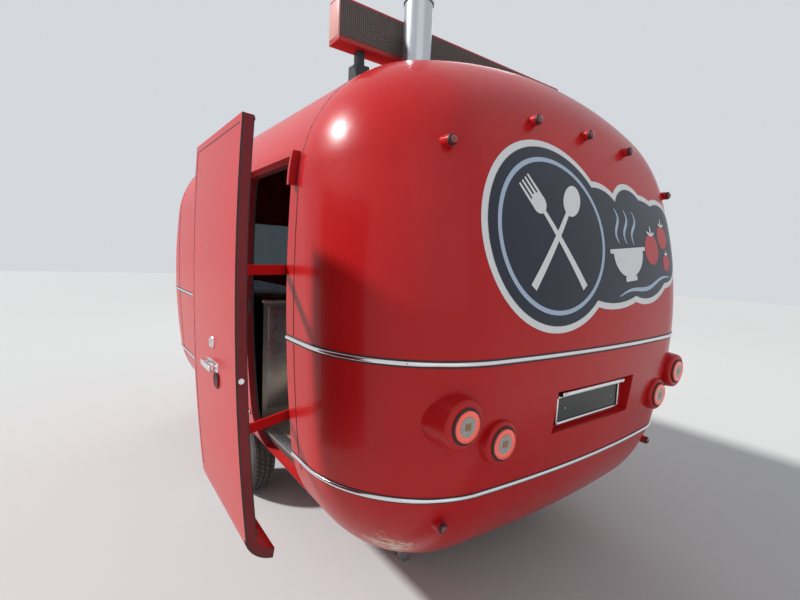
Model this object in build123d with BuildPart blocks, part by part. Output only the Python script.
import math
import os

from build123d import *

# Retro food trailer with a rounded loaf-shaped body, standing as parked.
# The origin is the centre of the tow ball in its coupling, +Y points the way it is towed,
# +X is its right-hand side and +Z is up. All values are millimetres.

# Overall levels, counted from the road
BALL_HEIGHT = 430.0
ROAD_Z = -BALL_HEIGHT
FIT = 0.3  # gap between a shell and what is fixed on it
GAP = 6.0  # gap round a leaf that moves


def level(height):
    """Height above the road as a Z value of this frame."""
    return ROAD_Z + height


# Body shell: its section across the trailer
WALL = 45.0
HALF_WIDTH = 1255.0
WIDEST_Z = level(1600.0)
SIDE_RADIUS = 8000.0
ROOF_Z = level(2760.0)
ROOF_RADIUS = 2700.0
SHOULDER_RADIUS = 660.0
BELLY_Z = level(260.0)
TUCK_RADIUS = 620.0

# Body shell: its length and the crowned ends
DRAWBAR_REACH = 1150.0
BODY_LENGTH = 4250.0
NOSE_Y = -DRAWBAR_REACH
TAIL_Y = NOSE_Y - BODY_LENGTH
END_RADIUS = 585.0
CROWN_UP_RADIUS = 2600.0
CROWN_ACROSS_RADIUS = 7500.0
CROWN_Z = level(1350.0)
CROWN_MARGIN = 90.0
CAP_LENGTH = 760.0
ROOF_HALF = 640.0
BELLY_HALF = 575.0
BELLY_START = 640.0

# Floor and chassis
FLOOR_Z = level(650.0)
FLOOR_THICK = 40.0
RAIL_X = 480.0
RAIL_WIDTH = 60.0
RAIL_HEIGHT = 150.0
RAIL_END = 300.0
CROSS_WIDTH = 60.0
CROSS_PLACES = (330.0, 1250.0, 2850.0, 3890.0)  # from the tail

# Wheels and axle
AXLE_FROM_TAIL = 2060.0
TYRE_RADIUS = 295.0
TYRE_WIDTH = 170.0
RIM_RADIUS = 172.0
WHEEL_X = 1015.0
ARCH_RADIUS = 345.0
AXLE_TUBE_RADIUS = 40.0
AXLE_TUBE_DROP = 60.0
ARM_LENGTH = 160.0
STUB_RADIUS = 18.0
RUNNING_FIT = 0.05
WHEEL_BOX_WALL = 20.0
WHEEL_BOX_RISE = 70.0
WHEEL_BOX_HALF = 330.0

# Entrance door in the left side
DOOR_FROM_TAIL = 845.0
DOOR_WIDTH = 610.0
DOOR_THICK = 34.0
SEAL_THICK = WALL - DOOR_THICK - GAP
SILL_Z = level(545.0)
SILL_WALL = 14.0
HEAD_Z = level(2135.0)
DOOR_ARM_LENGTH = 430.0
DOOR_ARM_TURN = 113.0  # arm angle at rest, counted from closed
DOOR_PIVOT_X = -1143.0
DOOR_PIVOT_FROM_TAIL = 910.0
DOOR_ARM_LEVELS = (955.0, 1650.0)
DOOR_ARM_HEIGHT = 44.0
DOOR_ARM_THICK = 12.0
SHAFT_RADIUS = 15.0
EYE_RADIUS = 20.0
PIN_RADIUS = 8.0

# Serving hatch in the right side
HATCH_FROM_TAIL = 1000.0
HATCH_WIDTH = 2050.0
HATCH_SILL_Z = level(1400.0)
HATCH_HEAD_Z = level(2105.0)
HATCH_BARREL_RADIUS = 7.0
SHELF_DEPTH = 300.0
SHELF_THICK = 20.0

# Trims and lamps
TRIM_HEIGHT = 24.0
TRIM_PROUD = 8.0
TRIM_LEVELS = {"upper_trim": 1340.0, "lower_trim": 770.0}
DRIP_PROUD = 34.0
DRIP_HEIGHT = 26.0
DRIP_SIDE = 55.0
DRIP_DROP = 110.0

# Rear fittings
POD_FLARE = 36.0
POD_LIP = 15.0
LENS_RADIUS = 62.0
LENS_THICK = 12.0
PLATE_SIZE = (520.0, 112.0)
PLATE_Z = level(1062.0)
FRAME_RIM = 14.0

# Roof fittings
FLUE_X = -550.0
FLUE_FROM_TAIL = 870.0
FLUE_RADIUS = 75.0
FLUE_WALL = 3.0
FLUE_TOP_Z = level(3520.0)
SIGN_FROM_TAIL = 1040.0
SIGN_SIZE = (1800.0, 100.0, 205.0)
SIGN_X = -50.0
SIGN_Z = level(2800.0)
VENT_FROM_TAIL = 2700.0
VENT_HALF = 200.0
VENT_RISE = 90.0

# Openings in the front cap
SLOT_HALF = 360.0
SLOT_TOP_Z = level(480.0)
WINDOW_HALF = 620.0
WINDOW_Z = (level(1480.0), level(2050.0))
WINDOW_CORNER = 90.0
WINDOW_CUT = 900.0
PANE_INSET = 12.0
PANE_THICK = 6.0

# Small door parts
DRIP_ABOVE = 14.0
DRIP_LEG = 20.0
SEAL_WIDTH = 18.0
HANDLE_FROM_EDGE = 330.0
HANDLE_LENGTH = 130.0
HANDLE_THICK = 11.0
HANDLE_PROUD = 26.0
HANDLE_Z = level(1290.0)
LOCK_ABOVE = 95.0
LOCK_RADIUS = 19.0
LOCK_PROUD = 12.0
PLATE_GAP = 1.0
PLATE_THICK = 5.0
SHAFT_Z = (level(895.0), level(1710.0))
BEARING_HEIGHT = 30.0
BEARING_REACH = 70.0
BEARING_FOOT = 5.0
BEARING_RADIUS = 22.0
WHEEL_BOX_SIDE = 45.0

# Small hatch and shelf parts
HINGE_LEAF = 40.0
HINGE_PLATE = 3.0
SHELF_CLEAR = 14.0
SHELF_Z = level(1378.0)
SHELF_EYE = 8.0
SHELF_PIN = 4.0
SHELF_LUG = 80.0
SHELF_EAR = 12.0
SHELF_HINGES = (1300.0, 2025.0, 2750.0)  # from the tail

# Small rear and roof parts
POD_DEEP = 330.0
MARKER_RADIUS = 23.0
MARKER_ROUND = 0.8
MARKER_PROUD = 45.0
MARKER_DEEP = 80.0
RECESS_DEPTH = 72.0  # from the tail to the flat back of the plate recess
RECESS_MARGIN = 56.0
RECESS_FOOT = 26.0
RECESS_HEAD = 38.0
RECESS_SLOPE = 22.0
RECESS_WALL = 30.0
FRAME_PROUD = 14.0
PLATE_DEEP = 6.0
NUMBER_PLATE_THICK = 3.0
BAR_RADIUS = 11.0
BAR_REACH = 34.0
FLUE_LOW_Z = level(2350.0)
FLUE_JOINT_Z = level(3050.0)
COLLAR_WIDTH = 45.0
COLLAR_THICK = 10.0
SIGN_LEGS = (-800.0, -50.0, 700.0)
SIGN_LEG = 40.0

# Underframe
DRAWBAR_HEIGHT = 80.0
DRAWBAR_WIDTH = 60.0
DRAWBAR_ROOT = 1150.0  # behind the nose
DRAWBAR_TIP_Y = -150.0
DRAWBAR_TIP_X = 42.0
BALL_RADIUS = 25.0
COUPLING_RADIUS = 38.0
COUPLING_BASE = 130.0
COUPLING_SHANK = 30.0
COUPLING_PLATE = 10.0
COUPLING_LEVER = 120.0
COUPLING_LID = 7.0
BALL_FIT = 0.5
JOCKEY_Y = -420.0
JOCKEY_X = 175.0
JOCKEY_TUBE_RADIUS = 30.0
JOCKEY_STEM_RADIUS = 24.0
JOCKEY_WHEEL_RADIUS = 100.0
JOCKEY_WHEEL_WIDTH = 60.0
JOCKEY_WHEEL_EDGE = 12.0
JOCKEY_TRAIL = 45.0
STEADY_PIVOT_Z = level(430.0)
STEADY_X = 547.0
STEADY_WIDTH = 40.0
STEADY_FROM_END = 800.0
STEADY_FOOT = (90.0, 44.0, 8.0)
STEADY_DEPTH = 40.0
STEADY_PIN = 8.0
STEADY_PIN_END = 2.0

# Small running gear parts
ARM_SIDE = 30.0
ARM_THICK = 24.0
ARM_END = 36.0
MOUNT_HALF = 60.0
BRAKE_PLATE = 6.0
DRUM_RADIUS = 108.0
DRUM_STEP = 4.0
TYRE_SHOULDER = 28.0
RIM_WIDTH = 140.0
RIM_LIP = 12.0
DISC_X = 20.0
DISC_THICK = 12.0
HUB_RADIUS = 42.0
HUB_NOSE = 26.0
HUB_START_X = 950.0
STUB_END_X = 1025.0

# Small jockey wheel parts
JOCKEY_TUBE_LOW = level(382.0)
JOCKEY_TUBE_TOP = level(760.0)
JOCKEY_LID = 10.0
STEM_FIT = 0.05
STEM_LOW = level(216.0)
STEM_TOP = level(520.0)
CLAMP_HALF = 42.0
CLAMP_HEIGHT = 50.0
CRANK_RADIUS = 7.0
CRANK_REACH = 110.0
CRANK_KNOB = 60.0
CRANK_SINK = 2.0
KNOB_RADIUS = 10.5
FORK_HALF = 42.0
FORK_PLATE = 5.0
FORK_REACH = 24.0
JOCKEY_PIN = 9.0

# Extraction hood
HOOD_X = -225.0
HOOD_FROM_TAIL = 520.0
HOOD_SIZE = (1250.0, 640.0)
HOOD_NECK = 10.0

os.makedirs("parts", exist_ok=True)


def finish(builder, name):
    """Label the piece and write it out."""
    builder.part.label = name
    export_step(builder.part, f"parts/{name}.step")


def meet(centre_a, radius_a, centre_b, radius_b):
    """Upper meeting point of two circles, given as (x, z) centres and radii."""
    gap = math.dist(centre_a, centre_b)
    along = (radius_a**2 - radius_b**2 + gap**2) / (2 * gap)
    across = math.sqrt(radius_a**2 - along**2)
    ux = (centre_b[0] - centre_a[0]) / gap
    uz = (centre_b[1] - centre_a[1]) / gap
    return (centre_a[0] + along * ux - across * uz, centre_a[1] + along * uz + across * ux)


def bearing(centre, point):
    """Angle of a point seen from a centre."""
    return math.atan2(point[1] - centre[1], point[0] - centre[0])


def on_circle(centre, radius, angle):
    return (centre[0] + radius * math.cos(angle), centre[1] + radius * math.sin(angle))


# The crown of each end runs past the body form above and below by a margin
CROWN_REACH = max(ROOF_Z - CROWN_Z, CROWN_Z - BELLY_Z) + CROWN_MARGIN

# Centres of the four arcs of the right half of the body section
SIDE_CENTRE = (HALF_WIDTH - SIDE_RADIUS, WIDEST_Z)
ROOF_CENTRE = (0.0, ROOF_Z - ROOF_RADIUS)
SHOULDER_CENTRE = meet(
    SIDE_CENTRE, SIDE_RADIUS - SHOULDER_RADIUS, ROOF_CENTRE, ROOF_RADIUS - SHOULDER_RADIUS
)
TUCK_Z = BELLY_Z + TUCK_RADIUS
TUCK_CENTRE = (
    SIDE_CENTRE[0] + math.sqrt((SIDE_RADIUS - TUCK_RADIUS) ** 2 - (TUCK_Z - WIDEST_Z) ** 2),
    TUCK_Z,
)
TUCK_END = bearing(SIDE_CENTRE, TUCK_CENTRE)
SHOULDER_START = bearing(SIDE_CENTRE, SHOULDER_CENTRE)
SHOULDER_END = bearing(ROOF_CENTRE, SHOULDER_CENTRE)


def body_form(inset):
    """Solid form of the body, moved inward by inset all over."""
    # columns: arc centre, radius, first angle, last angle
    arcs = (
        (TUCK_CENTRE, TUCK_RADIUS, -math.pi / 2, TUCK_END),
        (SIDE_CENTRE, SIDE_RADIUS, TUCK_END, SHOULDER_START),
        (SHOULDER_CENTRE, SHOULDER_RADIUS, SHOULDER_START, SHOULDER_END),
        (ROOF_CENTRE, ROOF_RADIUS, SHOULDER_END, math.pi / 2),
    )
    crown = CROWN_UP_RADIUS - inset
    crown_back = crown - math.sqrt(crown**2 - CROWN_REACH**2)
    with BuildPart() as form:
        with BuildSketch(Plane.XZ.offset(-(TAIL_Y + inset))):
            with BuildLine():
                for centre, radius, first, last in arcs:
                    ThreePointArc(
                        on_circle(centre, radius - inset, first),
                        on_circle(centre, radius - inset, (first + last) / 2),
                        on_circle(centre, radius - inset, last),
                    )
                Line((0, ROOF_Z - inset), (0, BELLY_Z + inset))
                Line((0, BELLY_Z + inset), (TUCK_CENTRE[0], BELLY_Z + inset))
            make_face()
            mirror(about=Plane.YZ)
        extrude(amount=-(BODY_LENGTH - 2 * inset))
        for tip, inward in ((TAIL_Y, 1), (NOSE_Y, -1)):
            face_y = tip + inward * inset
            axis_y = tip + inward * CROWN_ACROSS_RADIUS
            top = (face_y + inward * crown_back, CROWN_Z + CROWN_REACH)
            bottom = (face_y + inward * crown_back, CROWN_Z - CROWN_REACH)
            with BuildSketch(Plane.YZ):
                with BuildLine():
                    ThreePointArc(top, (face_y, CROWN_Z), bottom)
                    Polyline(bottom, (axis_y, bottom[1]), (axis_y, top[1]), top)
                make_face()
            revolve(axis=Axis((0, axis_y, 0), (0, 0, 1)), mode=Mode.INTERSECT)
        for end in (0, -1):
            fillet(form.faces().sort_by(Axis.Y)[end].edges(), radius=END_RADIUS - inset)
    return form.part


def block(x_range, y_range, z_range, mode=Mode.ADD):
    """Box between the given limits, in the part that is being built."""
    size = [high - low for low, high in (x_range, y_range, z_range)]
    middle = tuple((low + high) / 2 for low, high in (x_range, y_range, z_range))
    with Locations(middle):
        Box(*size, mode=mode)


def skin_x(z):
    """Half-width of the straight-sided skin at a level of the side arc."""
    return SIDE_CENTRE[0] + math.sqrt(SIDE_RADIUS**2 - (z - WIDEST_Z) ** 2)


def rod(start, end, radius, mode=Mode.ADD):
    """Round bar between two points, in the part that is being built."""
    axis = Vector(*end) - Vector(*start)
    middle = (Vector(*start) + Vector(*end)) / 2
    with Locations(Plane(origin=middle, z_dir=axis).location):
        Cylinder(radius, axis.length, mode=mode)


def tail_skin(x, z):
    """Y of the body's rear skin behind a point of its outline."""
    hits = BODY.find_intersection_points(Axis((x, PAST_TAIL_Y, z), (0, 1, 0)))
    return min(point.Y for point, _ in hits)


FAR = 4000.0
PAST_ENDS = 400.0
BODY = body_form(0.0)
BODY_INNER = body_form(WALL)
BODY_FITTED = body_form(-FIT)
CABIN = body_form(WALL + FIT)
PANE_OUTER = body_form(PANE_INSET)
PANE_INNER = body_form(PANE_INSET + PANE_THICK)
AXLE_Y = TAIL_Y + AXLE_FROM_TAIL
WHEEL_Z = ROAD_Z + TYRE_RADIUS
DOOR_Y = (TAIL_Y + DOOR_FROM_TAIL, TAIL_Y + DOOR_FROM_TAIL + DOOR_WIDTH)
DOOR_Z = (SILL_Z, HEAD_Z)
HATCH_Y = (TAIL_Y + HATCH_FROM_TAIL, TAIL_Y + HATCH_FROM_TAIL + HATCH_WIDTH)
HATCH_Z = (HATCH_SILL_Z, HATCH_HEAD_Z)
REAR_SEAM_Y = TAIL_Y + CAP_LENGTH
FRONT_SEAM_Y = NOSE_Y - CAP_LENGTH
FLUE_Y = TAIL_Y + FLUE_FROM_TAIL
RAIL_TOP_Z = FLOOR_Z - FLOOR_THICK
RAIL_LOW_Z = RAIL_TOP_Z - RAIL_HEIGHT
RAIL_Y = (TAIL_Y + RAIL_END, NOSE_Y - RAIL_END)

RECESS_Y = TAIL_Y + RECESS_DEPTH
RECESS_X = PLATE_SIZE[0] / 2 + FRAME_RIM + RECESS_MARGIN
RECESS_Z = (
    PLATE_Z - PLATE_SIZE[1] / 2 - FRAME_RIM - RECESS_FOOT,
    PLATE_Z + PLATE_SIZE[1] / 2 + FRAME_RIM + RECESS_HEAD,
)

EVERYWHERE = (-FAR, FAR)
PAST_TAIL_Y = TAIL_Y - PAST_ENDS
PAST_NOSE_Y = NOSE_Y + PAST_ENDS

with BuildPart() as shell:
    add(BODY)
    add(BODY_INNER, mode=Mode.SUBTRACT)
    block(
        (-BELLY_HALF, BELLY_HALF),
        (TAIL_Y + BELLY_START, NOSE_Y - BELLY_START),
        (BELLY_Z - WALL, BELLY_Z + 2 * WALL),
        Mode.SUBTRACT,
    )
    with Locations((0, AXLE_Y, WHEEL_Z)):
        Cylinder(ARCH_RADIUS, 2 * FAR, rotation=(0, 90, 0), mode=Mode.SUBTRACT)

with BuildPart() as rear_cap:
    add(shell.part)
    block(EVERYWHERE, (PAST_TAIL_Y, REAR_SEAM_Y), EVERYWHERE, Mode.INTERSECT)
    with BuildPart(mode=Mode.PRIVATE) as pan:
        add(BODY)
        pan_x = RECESS_X + RECESS_WALL
        pan_z = (RECESS_Z[0] - RECESS_WALL, RECESS_Z[1] + RECESS_WALL)
        block((-pan_x, pan_x), (PAST_TAIL_Y, RECESS_Y + RECESS_WALL), pan_z, Mode.INTERSECT)
    add(pan.part)
    with BuildSketch(Plane.YZ.offset(-RECESS_X)):
        with BuildLine():
            Polyline(
                (RECESS_Y, RECESS_Z[0] + RECESS_SLOPE / 2),
                (RECESS_Y, RECESS_Z[1]),
                (PAST_TAIL_Y, RECESS_Z[1]),
                (PAST_TAIL_Y, RECESS_Z[0]),
                (TAIL_Y, RECESS_Z[0]),
                close=True,
            )
        make_face()
    extrude(amount=2 * RECESS_X, mode=Mode.SUBTRACT)
finish(rear_cap, "rear_cap")

with BuildPart() as front_cap:
    add(shell.part)
    block(EVERYWHERE, (FRONT_SEAM_Y, PAST_NOSE_Y), EVERYWHERE, Mode.INTERSECT)
    block((-SLOT_HALF, SLOT_HALF), (FRONT_SEAM_Y, PAST_NOSE_Y), (-FAR, SLOT_TOP_Z), Mode.SUBTRACT)
    with BuildSketch(Plane.XZ.offset(-PAST_NOSE_Y)):
        with Locations((0, sum(WINDOW_Z) / 2)):
            RectangleRounded(2 * WINDOW_HALF, WINDOW_Z[1] - WINDOW_Z[0], WINDOW_CORNER)
    extrude(amount=WINDOW_CUT, mode=Mode.SUBTRACT)
finish(front_cap, "front_cap")

with BuildPart() as front_window:
    with BuildSketch(Plane.XZ.offset(-PAST_NOSE_Y)):
        with Locations((0, sum(WINDOW_Z) / 2)):
            RectangleRounded(
                2 * (WINDOW_HALF - FIT), WINDOW_Z[1] - WINDOW_Z[0] - 2 * FIT, WINDOW_CORNER - FIT
            )
    extrude(amount=WINDOW_CUT)
    add(PANE_OUTER, mode=Mode.INTERSECT)
    add(PANE_INNER, mode=Mode.SUBTRACT)
finish(front_window, "front_window")

MID_Y = (REAR_SEAM_Y, FRONT_SEAM_Y)
ROOF_ZONE = ((-ROOF_HALF, ROOF_HALF), MID_Y, (WIDEST_Z, FAR))

with BuildPart() as left_side:
    add(shell.part)
    block((-FAR, 0), MID_Y, EVERYWHERE, Mode.INTERSECT)
    block(*ROOF_ZONE, Mode.SUBTRACT)
    block((-FAR, 0), DOOR_Y, DOOR_Z, Mode.SUBTRACT)
finish(left_side, "left_side")

with BuildPart() as right_side:
    add(shell.part)
    block((0, FAR), MID_Y, EVERYWHERE, Mode.INTERSECT)
    block(*ROOF_ZONE, Mode.SUBTRACT)
    block((0, FAR), HATCH_Y, HATCH_Z, Mode.SUBTRACT)
finish(right_side, "right_side")

VENT_Y = TAIL_Y + VENT_FROM_TAIL
VENT_HOLE_Y = (VENT_Y - VENT_HALF, VENT_Y + VENT_HALF)
with BuildPart() as roof:
    add(shell.part)
    block(*ROOF_ZONE, Mode.INTERSECT)
    with Locations((FLUE_X, FLUE_Y, ROOF_Z)):
        Cylinder(FLUE_RADIUS + FIT, FAR, mode=Mode.SUBTRACT)
    block((-VENT_HALF, VENT_HALF), VENT_HOLE_Y, (WIDEST_Z, FAR), Mode.SUBTRACT)
finish(roof, "roof")

# Floor over the wheels, and the boxes that give the wheels room. A panel under the floor's
# edge closes the foot of the doorway, clear of the door's seal.
BOX_X = (WHEEL_X - TYRE_WIDTH / 2 - WHEEL_BOX_SIDE, WHEEL_X + TYRE_WIDTH / 2 + WHEEL_BOX_SIDE)
BOX_Y = (AXLE_Y - WHEEL_BOX_HALF, AXLE_Y + WHEEL_BOX_HALF)
with BuildPart() as floor:
    add(CABIN)
    block(EVERYWHERE, (PAST_TAIL_Y, PAST_NOSE_Y), (RAIL_TOP_Z, FLOOR_Z), Mode.INTERSECT)
    for side in (-1, 1):
        block(sorted((side * BOX_X[0], side * FAR)), BOX_Y, (RAIL_TOP_Z, FLOOR_Z), Mode.SUBTRACT)
    with BuildPart(mode=Mode.PRIVATE) as door_step:
        add(CABIN)
        add(body_form(WALL + FIT + SILL_WALL), mode=Mode.SUBTRACT)
        block((-FAR, 0), DOOR_Y, (SILL_Z, RAIL_TOP_Z), Mode.INTERSECT)
    add(door_step.part)
finish(floor, "floor")

BOX_TOP_Z = FLOOR_Z + WHEEL_BOX_RISE
with BuildPart() as wheel_boxes:
    for side in (-1, 1):
        outer_x = sorted((side * (BOX_X[0] + FIT), side * FAR))
        hollow_x = sorted((side * (BOX_X[0] + FIT + WHEEL_BOX_WALL), side * FAR))
        outer_y = (BOX_Y[0] + FIT, BOX_Y[1] - FIT)
        hollow_y = (outer_y[0] + WHEEL_BOX_WALL, outer_y[1] - WHEEL_BOX_WALL)
        block(outer_x, outer_y, (RAIL_TOP_Z, BOX_TOP_Z))
        block(hollow_x, hollow_y, (RAIL_TOP_Z, BOX_TOP_Z - WHEEL_BOX_WALL), Mode.SUBTRACT)
    add(CABIN, mode=Mode.INTERSECT)
finish(wheel_boxes, "wheel_boxes")

# Trims run round the whole body and stop at the door
with BuildPart() as trim_skin:
    add(body_form(-TRIM_PROUD))
    add(BODY_FITTED, mode=Mode.SUBTRACT)
TRIM_DOOR_Y = (DOOR_Y[0] - GAP, DOOR_Y[1] + GAP)
for name, height in TRIM_LEVELS.items():
    trim_z = (level(height) - TRIM_HEIGHT / 2, level(height) + TRIM_HEIGHT / 2)
    with BuildPart() as trim:
        add(trim_skin.part)
        block(EVERYWHERE, (PAST_TAIL_Y, PAST_NOSE_Y), trim_z, Mode.INTERSECT)
        block((-FAR, 0), TRIM_DOOR_Y, trim_z, Mode.SUBTRACT)
    finish(trim, name)

# Gutter over the door, turned down at both ends
DRIP_Y = (DOOR_Y[0] - DRIP_SIDE, DOOR_Y[1] + DRIP_SIDE)
DRIP_TOP_Z = HEAD_Z + DRIP_ABOVE + DRIP_HEIGHT
with BuildPart() as drip_rail:
    add(body_form(-DRIP_PROUD))
    add(BODY_FITTED, mode=Mode.SUBTRACT)
    block((-FAR, 0), DRIP_Y, (HEAD_Z - DRIP_DROP, DRIP_TOP_Z), Mode.INTERSECT)
    block(
        (-FAR, 0),
        (DRIP_Y[0] + DRIP_LEG, DRIP_Y[1] - DRIP_LEG),
        (-FAR, DRIP_TOP_Z - DRIP_HEIGHT),
        Mode.SUBTRACT,
    )
finish(drip_rail, "drip_rail")

# Entrance door: modelled closed, then carried out by its two arms
PIVOT = (DOOR_PIVOT_X, TAIL_Y + DOOR_PIVOT_FROM_TAIL)
EYE_CLOSED = (PIVOT[0], PIVOT[1] + DOOR_ARM_LENGTH)
ARM_TURN = math.radians(DOOR_ARM_TURN)
EYE_OPEN = (
    PIVOT[0] - DOOR_ARM_LENGTH * math.sin(ARM_TURN),
    PIVOT[1] + DOOR_ARM_LENGTH * math.cos(ARM_TURN),
)
OPEN_DOOR = Location((EYE_OPEN[0] - EYE_CLOSED[0], EYE_OPEN[1] - EYE_CLOSED[1], 0))
DOOR_BACK = body_form(DOOR_THICK + FIT)
LEAF_Y = (DOOR_Y[0] + GAP, DOOR_Y[1] - GAP)
LEAF_Z = (DOOR_Z[0] + GAP, DOOR_Z[1] - GAP)


def finish_open(builder, name):
    """Write a piece of the door in its open place."""
    with BuildPart() as placed:
        add(OPEN_DOOR * builder.part)
    finish(placed, name)


with BuildPart() as door:
    add(BODY)
    add(body_form(DOOR_THICK), mode=Mode.SUBTRACT)
    block((-FAR, 0), LEAF_Y, LEAF_Z, Mode.INTERSECT)
finish_open(door, "door")

with BuildPart() as door_seal:
    add(DOOR_BACK)
    add(body_form(DOOR_THICK + FIT + SEAL_THICK), mode=Mode.SUBTRACT)
    block((-FAR, 0), LEAF_Y, LEAF_Z, Mode.INTERSECT)
    block(
        (-FAR, 0),
        (LEAF_Y[0] + SEAL_WIDTH, LEAF_Y[1] - SEAL_WIDTH),
        (LEAF_Z[0] + SEAL_WIDTH, LEAF_Z[1] - SEAL_WIDTH),
        Mode.SUBTRACT,
    )
finish_open(door_seal, "door_seal")

HANDLE_Y = DOOR_Y[1] - HANDLE_FROM_EDGE
with BuildPart() as door_handle:
    block(
        (-HALF_WIDTH - HANDLE_PROUD, -HALF_WIDTH + DOOR_THICK / 2),
        (HANDLE_Y - HANDLE_LENGTH / 2, HANDLE_Y + HANDLE_LENGTH / 2),
        (HANDLE_Z - HANDLE_THICK, HANDLE_Z + HANDLE_THICK),
    )
    with Locations((-HALF_WIDTH, HANDLE_Y, HANDLE_Z + LOCK_ABOVE)):
        Cylinder(LOCK_RADIUS, 2 * LOCK_PROUD, rotation=(0, 90, 0))
    add(BODY_FITTED, mode=Mode.SUBTRACT)
finish_open(door_handle, "door_handle")

# Clevises on the leaf: two plates and a pin round the eye of each arm
with BuildPart() as door_brackets:
    for height in DOOR_ARM_LEVELS:
        for side in (-1, 1):
            plate_z = level(height) + side * (DOOR_ARM_HEIGHT / 2 + PLATE_GAP + PLATE_THICK / 2)
            with Locations((EYE_CLOSED[0], EYE_CLOSED[1], plate_z)):
                Cylinder(EYE_RADIUS, PLATE_THICK)
            block(
                (-HALF_WIDTH, EYE_CLOSED[0]),
                (EYE_CLOSED[1] - EYE_RADIUS, EYE_CLOSED[1] + EYE_RADIUS),
                (plate_z - PLATE_THICK / 2, plate_z + PLATE_THICK / 2),
            )
        pin_half = DOOR_ARM_HEIGHT / 2 + PLATE_GAP + PLATE_THICK
        with Locations((EYE_CLOSED[0], EYE_CLOSED[1], level(height))):
            Cylinder(PIN_RADIUS, 2 * pin_half)
    add(DOOR_BACK, mode=Mode.INTERSECT)
finish_open(door_brackets, "door_brackets")

ARM_TURNED = Location((PIVOT[0], PIVOT[1], 0), (0, 0, DOOR_ARM_TURN))
with BuildPart() as door_arms:
    for height in DOOR_ARM_LEVELS:
        arm_z = (level(height) - DOOR_ARM_HEIGHT / 2, level(height) + DOOR_ARM_HEIGHT / 2)
        block((-DOOR_ARM_THICK / 2, DOOR_ARM_THICK / 2), (0, DOOR_ARM_LENGTH), arm_z)
        with Locations((0, DOOR_ARM_LENGTH, level(height))):
            Cylinder(EYE_RADIUS, DOOR_ARM_HEIGHT)
            Cylinder(PIN_RADIUS + RUNNING_FIT, DOOR_ARM_HEIGHT, mode=Mode.SUBTRACT)
    with Locations((0, 0, sum(SHAFT_Z) / 2)):
        Cylinder(SHAFT_RADIUS, SHAFT_Z[1] - SHAFT_Z[0])
with BuildPart() as turned_arms:
    add(ARM_TURNED * door_arms.part)
finish(turned_arms, "door_arms")

# Bearings of the arm shaft, on the rear post of the doorway
with BuildPart() as door_bearings:
    for low_z in (SHAFT_Z[0], SHAFT_Z[1] - BEARING_HEIGHT):
        bearing_z = (low_z, low_z + BEARING_HEIGHT)
        foot_y = (DOOR_Y[0] - BEARING_REACH, DOOR_Y[0] - BEARING_FOOT)
        arm_x = (PIVOT[0] - BEARING_RADIUS, PIVOT[0] + BEARING_RADIUS)
        block((-FAR, arm_x[1]), foot_y, bearing_z)
        block(arm_x, (foot_y[0], PIVOT[1]), bearing_z)
        with Locations((PIVOT[0], PIVOT[1], low_z + BEARING_HEIGHT / 2)):
            Cylinder(BEARING_RADIUS, BEARING_HEIGHT)
            Cylinder(SHAFT_RADIUS + RUNNING_FIT, BEARING_HEIGHT, mode=Mode.SUBTRACT)
    add(CABIN, mode=Mode.INTERSECT)
finish(door_bearings, "door_bearings")

# Serving hatch, hinged along its top edge, and the shelf that folds up below it
HATCH_LEAF_Y = (HATCH_Y[0] + GAP, HATCH_Y[1] - GAP)
HATCH_LEAF_Z = (HATCH_Z[0] + GAP, HATCH_Z[1] - GAP)
BARREL_X = skin_x(HATCH_Z[1]) + HATCH_BARREL_RADIUS + FIT
BARREL_Z = HATCH_Z[1]
BARREL_ENDS = [(BARREL_X, y, BARREL_Z) for y in HATCH_LEAF_Y]
with BuildPart() as hatch:
    add(BODY)
    block(
        (0, BARREL_X - HATCH_BARREL_RADIUS + HINGE_PLATE),
        HATCH_LEAF_Y,
        (HATCH_LEAF_Z[1] - HINGE_LEAF, HATCH_LEAF_Z[1]),
    )
    add(BODY_INNER, mode=Mode.SUBTRACT)
    block((0, FAR), HATCH_LEAF_Y, HATCH_LEAF_Z, Mode.INTERSECT)
    rod(*BARREL_ENDS, HATCH_BARREL_RADIUS + FIT, Mode.SUBTRACT)
finish(hatch, "hatch")

with BuildPart() as hatch_hinge:
    rod(*BARREL_ENDS, HATCH_BARREL_RADIUS)
    block((0, BARREL_X), HATCH_LEAF_Y, (BARREL_Z, BARREL_Z + HINGE_LEAF))
    add(BODY_FITTED, mode=Mode.SUBTRACT)
finish(hatch_hinge, "hatch_hinge")

SHELF_PIVOT = (HALF_WIDTH + TRIM_PROUD + SHELF_CLEAR, SHELF_Z)
with BuildPart() as serving_shelf:
    block(
        (SHELF_PIVOT[0], SHELF_PIVOT[0] + SHELF_THICK),
        HATCH_LEAF_Y,
        (SHELF_Z - SHELF_DEPTH, SHELF_Z - SHELF_EYE - PLATE_GAP),
    )
    for place in SHELF_HINGES:
        hinge_y = TAIL_Y + place
        block(
            (SHELF_PIVOT[0], SHELF_PIVOT[0] + SHELF_THICK),
            (hinge_y - SHELF_LUG / 2, hinge_y + SHELF_LUG / 2),
            (SHELF_Z - SHELF_EYE - PLATE_GAP, SHELF_Z),
        )
        with Locations((SHELF_PIVOT[0], hinge_y, SHELF_Z)):
            Cylinder(SHELF_EYE, SHELF_LUG, rotation=(90, 0, 0))
            Cylinder(SHELF_PIN + RUNNING_FIT, SHELF_LUG, rotation=(90, 0, 0), mode=Mode.SUBTRACT)
finish(serving_shelf, "serving_shelf")

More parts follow.
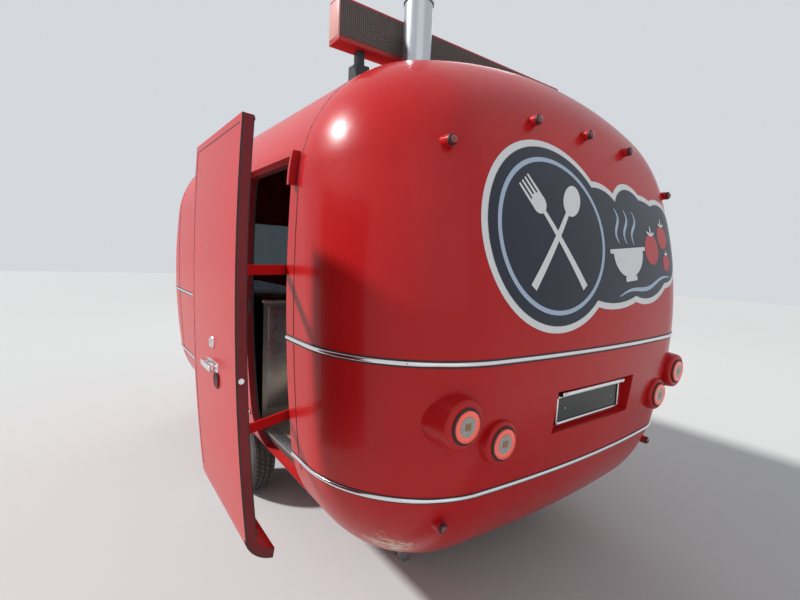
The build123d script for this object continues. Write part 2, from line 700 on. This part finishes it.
with BuildPart() as shelf_hinges:
    for place in SHELF_HINGES:
        hinge_y = TAIL_Y + place
        for side in (-1, 1):
            ear_reach = (PLATE_GAP, PLATE_GAP + SHELF_EAR)
            ear_y = sorted(hinge_y + side * (SHELF_LUG / 2 + reach) for reach in ear_reach)
            ear_z = (SHELF_Z - SHELF_EYE, SHELF_Z + SHELF_EYE)
            block((skin_x(SHELF_Z), SHELF_PIVOT[0]), ear_y, ear_z)
            with Locations((SHELF_PIVOT[0], sum(ear_y) / 2, SHELF_Z)):
                Cylinder(SHELF_EYE, SHELF_EAR, rotation=(90, 0, 0))
        with Locations((SHELF_PIVOT[0], hinge_y, SHELF_Z)):
            pin_length = SHELF_LUG + 2 * (PLATE_GAP + SHELF_EAR)
            Cylinder(SHELF_PIN, pin_length, rotation=(90, 0, 0))
    add(BODY_FITTED, mode=Mode.SUBTRACT)
finish(shelf_hinges, "shelf_hinges")

# Rear lamps on both sides: (x, height, pod face from the tail, radius of the pod's face)
LAMP_TABLE = ((882.0, 1120.0, 22.0, 97.0), (667.0, 1007.0, 22.0, 88.0))
with BuildPart() as lamp_pods:
    for x, height, face, radius in LAMP_TABLE:
        for side in (-1, 1):
            foot = (side * x, TAIL_Y + POD_DEEP, level(height))
            with BuildPart(Plane(origin=foot, z_dir=(0, -1, 0)), mode=Mode.PRIVATE) as pod:
                Cone(
                    radius + POD_FLARE,
                    radius,
                    POD_DEEP - face,
                    align=(Align.CENTER, Align.CENTER, Align.MIN),
                )
                fillet(pod.edges().sort_by(Axis.Y)[0], radius=POD_LIP)
            add(pod.part)
    add(BODY_FITTED, mode=Mode.SUBTRACT)
finish(lamp_pods, "lamp_pods")

with BuildPart() as tail_lamps:
    for x, height, face, _ in LAMP_TABLE:
        for side in (-1, 1):
            lens_back = (side * x, TAIL_Y + face, level(height))
            rod((side * x, TAIL_Y + face - LENS_THICK, level(height)), lens_back, LENS_RADIUS)
finish(tail_lamps, "tail_lamps")

# Small bullet lamps: (x, height) on the rear cap
MARKER_TABLE = (
    (-889.0, 2174.0),
    (-394.0, 2351.0),
    (0.0, 2362.0),
    (394.0, 2351.0),
    (889.0, 2174.0),
    (-857.0, 647.0),
    (857.0, 647.0),
)
with BuildPart() as marker_lamps:
    for x, height in MARKER_TABLE:
        skin_y = tail_skin(x, level(height))
        tip_y = skin_y - MARKER_PROUD
        with BuildPart(mode=Mode.PRIVATE) as bullet:
            rod((x, tip_y, level(height)), (x, skin_y + MARKER_DEEP, level(height)), MARKER_RADIUS)
            fillet(bullet.edges().sort_by(Axis.Y)[0], radius=MARKER_RADIUS * MARKER_ROUND)
        add(bullet.part)
    add(BODY_FITTED, mode=Mode.SUBTRACT)
finish(marker_lamps, "marker_lamps")

# Blank number plate in its frame at the back of the recess, with a light bar above it
PLATE_HALF = (PLATE_SIZE[0] / 2, PLATE_SIZE[1] / 2)
FRAME_HALF = (PLATE_HALF[0] + FRAME_RIM, PLATE_HALF[1] + FRAME_RIM)
FRAME_Y = (RECESS_Y - FIT - FRAME_PROUD, RECESS_Y - FIT)
POCKET_Y = (FRAME_Y[0], FRAME_Y[0] + PLATE_DEEP)
BAR_Z = PLATE_Z + FRAME_HALF[1] + BAR_RADIUS
BAR_Y = RECESS_Y - BAR_REACH
with BuildPart() as plate_frame:
    frame_x = (-FRAME_HALF[0], FRAME_HALF[0])
    block(frame_x, FRAME_Y, (PLATE_Z - FRAME_HALF[1], PLATE_Z + FRAME_HALF[1]))
    block(
        (-PLATE_HALF[0], PLATE_HALF[0]),
        POCKET_Y,
        (PLATE_Z - PLATE_HALF[1], PLATE_Z + PLATE_HALF[1]),
        Mode.SUBTRACT,
    )
    rod((frame_x[0], BAR_Y, BAR_Z), (frame_x[1], BAR_Y, BAR_Z), BAR_RADIUS)
    block(frame_x, (BAR_Y, FRAME_Y[1]), (BAR_Z - BAR_RADIUS, BAR_Z + BAR_RADIUS))
finish(plate_frame, "plate_frame")

with BuildPart() as number_plate:
    block(
        (FIT - PLATE_HALF[0], PLATE_HALF[0] - FIT),
        (POCKET_Y[1] - NUMBER_PLATE_THICK, POCKET_Y[1]),
        (PLATE_Z - PLATE_HALF[1] + FIT, PLATE_Z + PLATE_HALF[1] - FIT),
    )
finish(number_plate, "number_plate")

# Roof fittings
with BuildPart() as flue_pipe:
    rod((FLUE_X, FLUE_Y, FLUE_LOW_Z), (FLUE_X, FLUE_Y, FLUE_TOP_Z), FLUE_RADIUS)
    rod((FLUE_X, FLUE_Y, FLUE_JOINT_Z), (FLUE_X, FLUE_Y, FLUE_TOP_Z), FLUE_RADIUS + FLUE_WALL)
    rod((FLUE_X, FLUE_Y, FLUE_LOW_Z), (FLUE_X, FLUE_Y, FLUE_TOP_Z), FLUE_RADIUS - FLUE_WALL, Mode.SUBTRACT)
finish(flue_pipe, "flue_pipe")

with BuildPart() as flue_collar:
    with Locations((FLUE_X, FLUE_Y, ROOF_Z)):
        Cylinder(FLUE_RADIUS + COLLAR_WIDTH, FAR)
        Cylinder(FLUE_RADIUS + FIT, FAR, mode=Mode.SUBTRACT)
    add(body_form(-COLLAR_THICK), mode=Mode.INTERSECT)
    add(BODY_FITTED, mode=Mode.SUBTRACT)
finish(flue_collar, "flue_collar")

SIGN_Y = TAIL_Y + SIGN_FROM_TAIL
with BuildPart() as roof_sign:
    with Locations((SIGN_X, SIGN_Y, SIGN_Z + SIGN_SIZE[2] / 2)):
        Box(*SIGN_SIZE)
finish(roof_sign, "roof_sign")

with BuildPart() as sign_legs:
    for x in SIGN_LEGS:
        # columns: half width of the leg or its foot, top
        for half, top in ((SIGN_LEG / 2, SIGN_Z), (SIGN_LEG, ROOF_Z - SIGN_LEG)):
            block((x - half, x + half), (SIGN_Y - half, SIGN_Y + half), (WIDEST_Z, top))
    add(BODY_FITTED, mode=Mode.SUBTRACT)
finish(sign_legs, "sign_legs")

with BuildPart() as roof_vent:
    block(
        (-VENT_HALF + FIT, VENT_HALF - FIT),
        (VENT_HOLE_Y[0] + FIT, VENT_HOLE_Y[1] - FIT),
        (ROOF_Z - WALL, ROOF_Z + VENT_RISE),
    )
    fillet(roof_vent.faces().sort_by(Axis.Z)[-1].edges(), radius=VENT_RISE / 3)
finish(roof_vent, "roof_vent")

# Underframe: two long rails, cross members and the drawbar
with BuildPart() as chassis_rails:
    for side in (-1, 1):
        rail_x = sorted((side * (RAIL_X - RAIL_WIDTH / 2), side * (RAIL_X + RAIL_WIDTH / 2)))
        block(rail_x, RAIL_Y, (RAIL_LOW_Z, RAIL_TOP_Z))
finish(chassis_rails, "chassis_rails")

with BuildPart() as cross_members:
    for place in CROSS_PLACES:
        cross_y = (TAIL_Y + place - CROSS_WIDTH / 2, TAIL_Y + place + CROSS_WIDTH / 2)
        block((-RAIL_X + RAIL_WIDTH / 2, RAIL_X - RAIL_WIDTH / 2), cross_y, (RAIL_LOW_Z, RAIL_TOP_Z))
finish(cross_members, "cross_members")

DRAWBAR_Z = (RAIL_LOW_Z - DRAWBAR_HEIGHT, RAIL_LOW_Z)
with BuildPart() as drawbar:
    root_y = NOSE_Y - DRAWBAR_ROOT
    for side in (-1, 1):
        inner = DRAWBAR_WIDTH / 2
        with BuildSketch(Plane.XY.offset(DRAWBAR_Z[0])):
            with BuildLine():
                Polyline(
                    (side * (RAIL_X + inner), root_y),
                    (side * (RAIL_X - inner), root_y),
                    (side * (DRAWBAR_TIP_X - inner), DRAWBAR_TIP_Y),
                    (side * (DRAWBAR_TIP_X + inner), DRAWBAR_TIP_Y),
                    close=True,
                )
            make_face()
        extrude(amount=DRAWBAR_HEIGHT)
finish(drawbar, "drawbar")

# Ball coupling: its socket is open below, round the ball at the origin
with BuildPart() as coupling:
    rod((0, DRAWBAR_TIP_Y + FIT, 0), (0, 0, 0), COUPLING_SHANK)
    block(
        (-COUPLING_BASE / 2, COUPLING_BASE / 2),
        (DRAWBAR_TIP_Y + FIT, DRAWBAR_TIP_Y + FIT + COUPLING_PLATE),
        DRAWBAR_Z,
    )
    with Locations((0, 0, 0)):
        Sphere(COUPLING_RADIUS)
    rod((0, 0, -BALL_RADIUS / 2), (0, 0, 0), COUPLING_RADIUS)
    block(
        (-COUPLING_RADIUS, COUPLING_RADIUS),
        (-COUPLING_RADIUS, COUPLING_RADIUS),
        (-FAR, -BALL_RADIUS / 2),
        Mode.SUBTRACT,
    )
    block(
        (-COUPLING_PLATE / 2, COUPLING_PLATE / 2),
        (-COUPLING_LEVER, 0),
        (BALL_RADIUS + COUPLING_LID, COUPLING_RADIUS + COUPLING_PLATE),
    )
    rod((0, 0, -COUPLING_RADIUS), (0, 0, 0), BALL_RADIUS + BALL_FIT, Mode.SUBTRACT)
    with Locations((0, 0, 0)):
        Sphere(BALL_RADIUS + BALL_FIT, mode=Mode.SUBTRACT)
finish(coupling, "coupling")

# Axle: cross tube with two trailing arms, stub axles and brake plates
AXLE_TUBE = (AXLE_Y + ARM_LENGTH, WHEEL_Z + AXLE_TUBE_DROP)
ARM_X = WHEEL_X - TYRE_WIDTH / 2 - ARM_SIDE
with BuildPart() as axle:
    rod((-ARM_X, *AXLE_TUBE), (ARM_X, *AXLE_TUBE), AXLE_TUBE_RADIUS)
    for side in (-1, 1):
        arm_x = sorted((side * ARM_X, side * (ARM_X - ARM_THICK)))
        with BuildSketch(Plane.YZ.offset(arm_x[0])):
            with BuildLine():
                Polyline(
                    (AXLE_TUBE[0], AXLE_TUBE[1] + AXLE_TUBE_RADIUS),
                    (AXLE_Y, WHEEL_Z + ARM_END),
                    (AXLE_Y - ARM_END, WHEEL_Z),
                    (AXLE_Y, WHEEL_Z - ARM_END),
                    (AXLE_TUBE[0], AXLE_TUBE[1] - AXLE_TUBE_RADIUS),
                    close=True,
                )
            make_face()
        extrude(amount=ARM_THICK)
        # columns: first and last x, radius
        for first, last, radius in (
            (ARM_X - ARM_THICK, STUB_END_X, STUB_RADIUS),
            (ARM_X, ARM_X + BRAKE_PLATE, DRUM_RADIUS),
        ):
            rod((side * first, AXLE_Y, WHEEL_Z), (side * last, AXLE_Y, WHEEL_Z), radius)
        mount_x = sorted((side * (RAIL_X - RAIL_WIDTH / 2), side * (RAIL_X + RAIL_WIDTH / 2)))
        block(
            mount_x,
            (AXLE_TUBE[0] - MOUNT_HALF, AXLE_TUBE[0] + MOUNT_HALF),
            (AXLE_TUBE[1], RAIL_LOW_Z),
        )
finish(axle, "axle")

for side, word in ((-1, "left"), (1, "right")):
    inner_x = side * (WHEEL_X - TYRE_WIDTH / 2)
    outer_x = side * (WHEEL_X + TYRE_WIDTH / 2)
    with BuildPart() as tyre:
        with BuildSketch(Plane.XY):
            with Locations(((inner_x + outer_x) / 2, (TYRE_RADIUS + RIM_RADIUS) / 2)):
                RectangleRounded(TYRE_WIDTH, TYRE_RADIUS - RIM_RADIUS, TYRE_SHOULDER)
        revolve(axis=Axis.X)
    with BuildPart() as placed_tyre:
        with Locations((0, AXLE_Y, WHEEL_Z)):
            add(tyre.part)
    finish(placed_tyre, f"tyre_{word}")
    with BuildPart() as rim:
        with BuildSketch(Plane.XY):
            with BuildLine():
                Polyline(
                    (side * (WHEEL_X - RIM_WIDTH / 2), RIM_RADIUS - FIT),
                    (side * (WHEEL_X + RIM_WIDTH / 2), RIM_RADIUS - FIT),
                    (side * (WHEEL_X + RIM_WIDTH / 2), RIM_RADIUS - RIM_LIP),
                    (side * (WHEEL_X + DISC_X), RIM_RADIUS - RIM_LIP),
                    (side * (WHEEL_X + DISC_X), HUB_RADIUS),
                    (side * (WHEEL_X + DISC_X + HUB_NOSE), HUB_RADIUS),
                    (side * (WHEEL_X + DISC_X + HUB_NOSE), 0),
                    (side * STUB_END_X + side * RUNNING_FIT, 0),
                    (side * STUB_END_X + side * RUNNING_FIT, STUB_RADIUS + RUNNING_FIT),
                    (side * HUB_START_X, STUB_RADIUS + RUNNING_FIT),
                    (side * HUB_START_X, DRUM_RADIUS - DRUM_STEP),
                    (side * (WHEEL_X + DISC_X - DISC_THICK), DRUM_RADIUS - DRUM_STEP),
                    (side * (WHEEL_X + DISC_X - DISC_THICK), RIM_RADIUS - RIM_LIP),
                    (side * (WHEEL_X - RIM_WIDTH / 2), RIM_RADIUS - RIM_LIP),
                    close=True,
                )
            make_face()
        revolve(axis=Axis.X)
    with BuildPart() as placed_rim:
        with Locations((0, AXLE_Y, WHEEL_Z)):
            add(rim.part)
    finish(placed_rim, f"rim_{word}")

# Jockey wheel: clamp, outer tube, screw stem, fork and wheel
JOCKEY_WHEEL_Z = ROAD_Z + JOCKEY_WHEEL_RADIUS
CLAMP_Z = (DRAWBAR_Z[1] + FIT, DRAWBAR_Z[1] + FIT + CLAMP_HEIGHT)
with BuildPart() as jockey_tube:
    rod((JOCKEY_X, JOCKEY_Y, JOCKEY_TUBE_LOW), (JOCKEY_X, JOCKEY_Y, JOCKEY_TUBE_TOP), JOCKEY_TUBE_RADIUS)
    rod(
        (JOCKEY_X, JOCKEY_Y, JOCKEY_TUBE_LOW),
        (JOCKEY_X, JOCKEY_Y, JOCKEY_TUBE_TOP - JOCKEY_LID),
        JOCKEY_STEM_RADIUS + STEM_FIT,
        Mode.SUBTRACT,
    )
    crank_z = JOCKEY_TUBE_TOP + CRANK_RADIUS - CRANK_SINK
    rod((JOCKEY_X, JOCKEY_Y, crank_z), (JOCKEY_X + CRANK_REACH, JOCKEY_Y, crank_z), CRANK_RADIUS)
    rod(
        (JOCKEY_X + CRANK_REACH, JOCKEY_Y, crank_z - CRANK_RADIUS),
        (JOCKEY_X + CRANK_REACH, JOCKEY_Y, crank_z + CRANK_KNOB),
        KNOB_RADIUS,
    )
finish(jockey_tube, "jockey_tube")

with BuildPart() as jockey_clamp:
    block(
        (DRAWBAR_TIP_X, JOCKEY_X),
        (JOCKEY_Y - CLAMP_HALF, JOCKEY_Y + CLAMP_HALF),
        CLAMP_Z,
    )
    with Locations((JOCKEY_X, JOCKEY_Y, sum(CLAMP_Z) / 2)):
        Cylinder(CLAMP_HALF, CLAMP_HEIGHT)
        Cylinder(JOCKEY_TUBE_RADIUS + RUNNING_FIT, CLAMP_HEIGHT, mode=Mode.SUBTRACT)
finish(jockey_clamp, "jockey_clamp")

with BuildPart() as jockey_stem:
    rod((JOCKEY_X, JOCKEY_Y, STEM_LOW), (JOCKEY_X, JOCKEY_Y, STEM_TOP), JOCKEY_STEM_RADIUS)
finish(jockey_stem, "jockey_stem")

JOCKEY_AXLE_Y = JOCKEY_Y - JOCKEY_TRAIL
FORK_TOP = STEM_LOW - FIT
with BuildPart() as jockey_fork:
    block(
        (JOCKEY_X - FORK_HALF, JOCKEY_X + FORK_HALF),
        (JOCKEY_AXLE_Y - FORK_REACH, JOCKEY_Y + JOCKEY_STEM_RADIUS),
        (FORK_TOP - FORK_PLATE, FORK_TOP),
    )
    for side in (-1, 1):
        cheek_x = sorted((JOCKEY_X + side * FORK_HALF, JOCKEY_X + side * (FORK_HALF - FORK_PLATE)))
        block(
            cheek_x,
            (JOCKEY_AXLE_Y - FORK_REACH, JOCKEY_AXLE_Y + FORK_REACH),
            (JOCKEY_WHEEL_Z - FORK_REACH, FORK_TOP),
        )
    rod(
        (JOCKEY_X - FORK_HALF, JOCKEY_AXLE_Y, JOCKEY_WHEEL_Z),
        (JOCKEY_X + FORK_HALF, JOCKEY_AXLE_Y, JOCKEY_WHEEL_Z),
        JOCKEY_PIN,
    )
finish(jockey_fork, "jockey_fork")

with BuildPart() as jockey_wheel:
    rod(
        (JOCKEY_X - JOCKEY_WHEEL_WIDTH / 2, JOCKEY_AXLE_Y, JOCKEY_WHEEL_Z),
        (JOCKEY_X + JOCKEY_WHEEL_WIDTH / 2, JOCKEY_AXLE_Y, JOCKEY_WHEEL_Z),
        JOCKEY_WHEEL_RADIUS,
    )
    fillet(jockey_wheel.edges().filter_by(GeomType.CIRCLE), radius=JOCKEY_WHEEL_EDGE)
    rod(
        (JOCKEY_X - JOCKEY_WHEEL_WIDTH, JOCKEY_AXLE_Y, JOCKEY_WHEEL_Z),
        (JOCKEY_X + JOCKEY_WHEEL_WIDTH, JOCKEY_AXLE_Y, JOCKEY_WHEEL_Z),
        JOCKEY_PIN + RUNNING_FIT,
        Mode.SUBTRACT,
    )
finish(jockey_wheel, "jockey_wheel")

# Corner steadies: (name, side, end, fold direction) and their pivots on the rails
STEADY_TABLE = (
    ("steady_rear_left", -1, TAIL_Y, 1),
    ("steady_rear_right", 1, TAIL_Y, 1),
    ("steady_front_left", -1, NOSE_Y, -1),
    ("steady_front_right", 1, NOSE_Y, -1),
)
for name, side, end_y, inward in STEADY_TABLE:
    pivot_y = end_y + inward * STEADY_FROM_END
    x = side * STEADY_X
    leg_x = (x - STEADY_WIDTH / 2, x + STEADY_WIDTH / 2)
    with BuildPart() as steady:
        block(
            leg_x,
            (pivot_y - STEADY_DEPTH / 2, pivot_y + STEADY_DEPTH / 2),
            (ROAD_Z + STEADY_FOOT[2], STEADY_PIVOT_Z),
        )
        rod((leg_x[0], pivot_y, STEADY_PIVOT_Z), (leg_x[1], pivot_y, STEADY_PIVOT_Z), STEADY_DEPTH / 2)
        block(
            (x - STEADY_FOOT[1] / 2, x + STEADY_FOOT[1] / 2),
            (pivot_y - STEADY_FOOT[0] / 2, pivot_y + STEADY_FOOT[0] / 2),
            (ROAD_Z, ROAD_Z + STEADY_FOOT[2]),
        )
        rod(
            (leg_x[0], pivot_y, STEADY_PIVOT_Z),
            (leg_x[1], pivot_y, STEADY_PIVOT_Z),
            STEADY_PIN + RUNNING_FIT,
            Mode.SUBTRACT,
        )
    finish(steady, name)

with BuildPart() as steady_pivots:
    for name, side, end_y, inward in STEADY_TABLE:
        pivot_y = end_y + inward * STEADY_FROM_END
        hanger_x = sorted((side * (RAIL_X - RAIL_WIDTH / 2), side * (RAIL_X + RAIL_WIDTH / 2)))
        block(
            hanger_x,
            (pivot_y - STEADY_DEPTH / 2, pivot_y + STEADY_DEPTH / 2),
            (STEADY_PIVOT_Z - STEADY_DEPTH / 2, RAIL_LOW_Z),
        )
        rod(
            (side * (RAIL_X - RAIL_WIDTH / 2), pivot_y, STEADY_PIVOT_Z),
            (side * (STEADY_X + STEADY_WIDTH / 2 + STEADY_PIN_END), pivot_y, STEADY_PIVOT_Z),
            STEADY_PIN,
        )
finish(steady_pivots, "steady_pivots")

# Kitchen: (name, x range, y range from the tail, z range)
CABIN_TABLE = (
    ("left_unit", (-1100.0, -520.0), (1600.0, 3400.0), (FLOOR_Z, level(1410.0))),
    ("serving_counter", (520.0, 1100.0), (900.0, 3400.0), (FLOOR_Z, level(1370.0))),
    ("cooking_range", (-900.0, 450.0), (150.0, 740.0), (FLOOR_Z, level(1540.0))),
)
for name, x_range, places, z_range in CABIN_TABLE:
    with BuildPart() as unit:
        block(x_range, (TAIL_Y + places[0], TAIL_Y + places[1]), z_range)
        if name != "cooking_range":
            side = 1 if x_range[0] > 0 else -1
            block(
                sorted((side * (BOX_X[0] - GAP), side * FAR)),
                (BOX_Y[0] - GAP, BOX_Y[1] + GAP),
                (FLOOR_Z, BOX_TOP_Z + GAP),
                Mode.SUBTRACT,
            )
        add(CABIN, mode=Mode.INTERSECT)
    finish(unit, name)

HOOD_Z = (level(2060.0), FLUE_LOW_Z)
with BuildPart() as extraction_hood:
    with BuildSketch(Plane.XY.offset(HOOD_Z[0])):
        with Locations((HOOD_X, TAIL_Y + HOOD_FROM_TAIL)):
            Rectangle(HOOD_SIZE[0], HOOD_SIZE[1])
    with BuildSketch(Plane.XY.offset(HOOD_Z[1])):
        with Locations((FLUE_X, FLUE_Y)):
            Rectangle(2 * FLUE_RADIUS + HOOD_NECK, 2 * FLUE_RADIUS + HOOD_NECK)
    loft()
    add(CABIN, mode=Mode.INTERSECT)
finish(extraction_hood, "extraction_hood")
